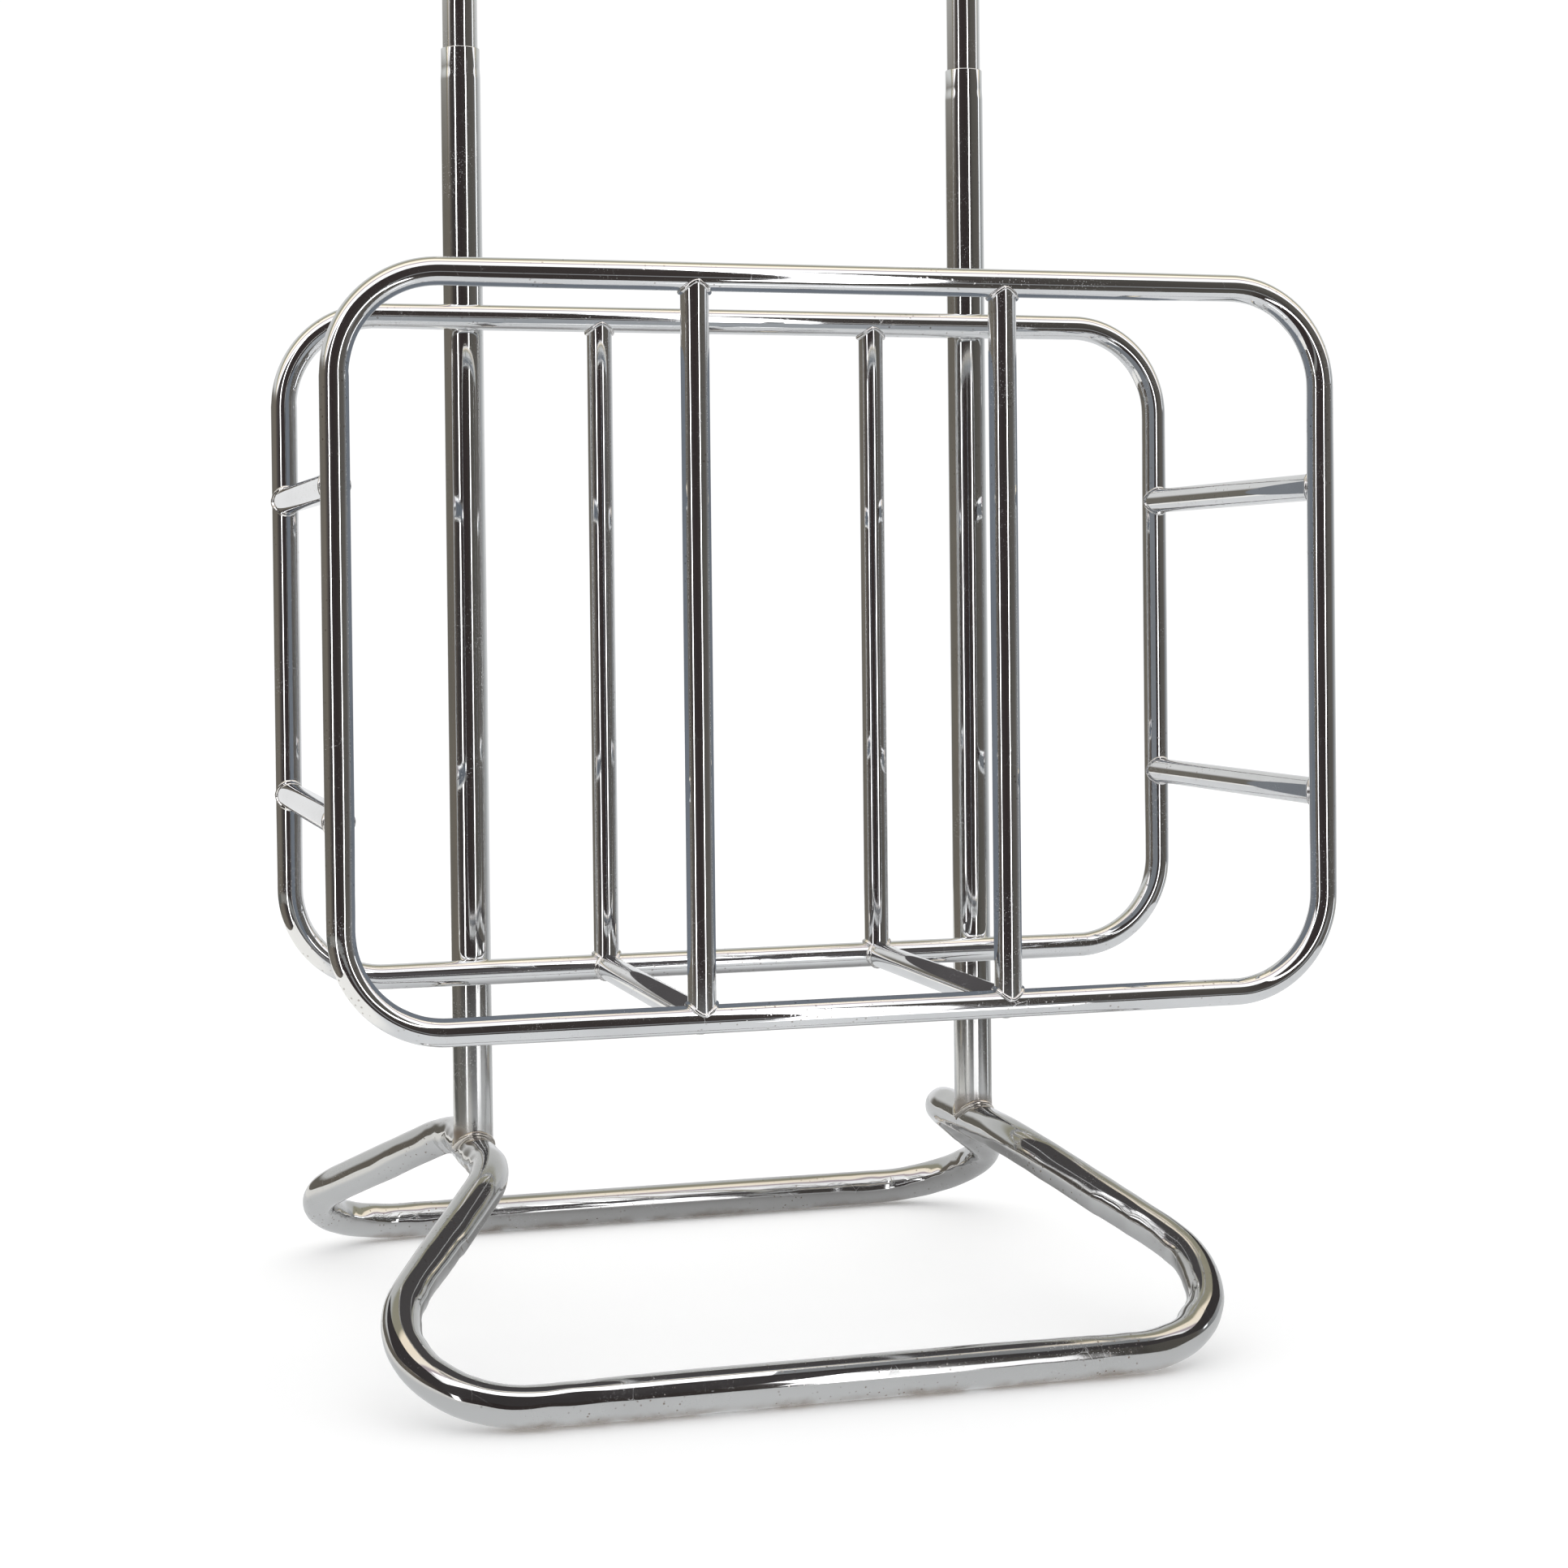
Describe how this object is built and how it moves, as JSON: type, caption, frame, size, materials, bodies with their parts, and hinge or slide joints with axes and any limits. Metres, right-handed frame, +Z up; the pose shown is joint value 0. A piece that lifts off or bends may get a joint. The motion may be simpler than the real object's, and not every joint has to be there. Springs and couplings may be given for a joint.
{
  "type": "cabin bag sizer",
  "caption": "Free-standing baggage gauge: an open cage of bent chrome tube held in front of two posts on a bent-tube floor frame, with sliding upper tubes for a sign.",
  "frame": {"origin": "on the floor, under the middle of the bounding box", "axes": "+Z up, the open front of the cage to -Y, +X to the right as seen from the front"},
  "size_m": [0.595, 0.5436, 0.964],
  "materials": {
    "frame_chrome": "polished plating",
    "bar_chrome": "polished plating",
    "post_chrome": "polished plating",
    "upper_chrome": "polished plating",
    "base_chrome": "plating dulled by wear",
    "weld_bead": "plated over rough weld"
  },
  "bodies": {
    "stand": {"base_front_bow": "base_chrome", "base_rear_bow": "base_chrome", "cage_front_frame": "frame_chrome", "cage_rear_frame": "frame_chrome", "floor_bar_left": "bar_chrome", "floor_bar_right": "bar_chrome", "front_upright_left": "bar_chrome", "front_upright_right": "bar_chrome", "post_left": "post_chrome", "post_right": "post_chrome", "rear_upright_left": "bar_chrome", "rear_upright_right": "bar_chrome", "side_bar_lower_left": "bar_chrome", "side_bar_lower_right": "bar_chrome", "side_bar_upper_left": "bar_chrome", "side_bar_upper_right": "bar_chrome", "weld_front_bottom_left": "weld_bead", "weld_front_bottom_right": "weld_bead", "weld_front_top_left": "weld_bead", "weld_front_top_right": "weld_bead", "weld_post_bottom_rail_left": "weld_bead", "weld_post_bottom_rail_right": "weld_bead", "weld_post_foot_left": "weld_bead", "weld_post_foot_right": "weld_bead", "weld_post_top_rail_left": "weld_bead", "weld_post_top_rail_right": "weld_bead", "weld_rear_bottom_left": "weld_bead", "weld_rear_bottom_right": "weld_bead", "weld_rear_top_left": "weld_bead", "weld_rear_top_right": "weld_bead", "weld_side_lower_front_left": "weld_bead", "weld_side_lower_front_right": "weld_bead", "weld_side_lower_rear_left": "weld_bead", "weld_side_lower_rear_right": "weld_bead", "weld_side_upper_front_left": "weld_bead", "weld_side_upper_front_right": "weld_bead", "weld_side_upper_rear_left": "weld_bead", "weld_side_upper_rear_right": "weld_bead"},
    "upper_left": {"upper_tube_left": "upper_chrome"},
    "upper_right": {"upper_tube_right": "upper_chrome"}
  },
  "joints": [
    {"name": "upper_left_slide", "type": "slide", "parent": "stand", "child": "upper_left", "axis": [0, 0, 1], "range_m": [-0.1, 0.15]},
    {"name": "upper_right_slide", "type": "slide", "parent": "stand", "child": "upper_right", "axis": [0, 0, 1], "range_m": [-0.1, 0.15]}
  ],
  "couplings": [
    {"joint": "upper_right_slide", "follows": "upper_left_slide", "ratio": 1}
  ]
}
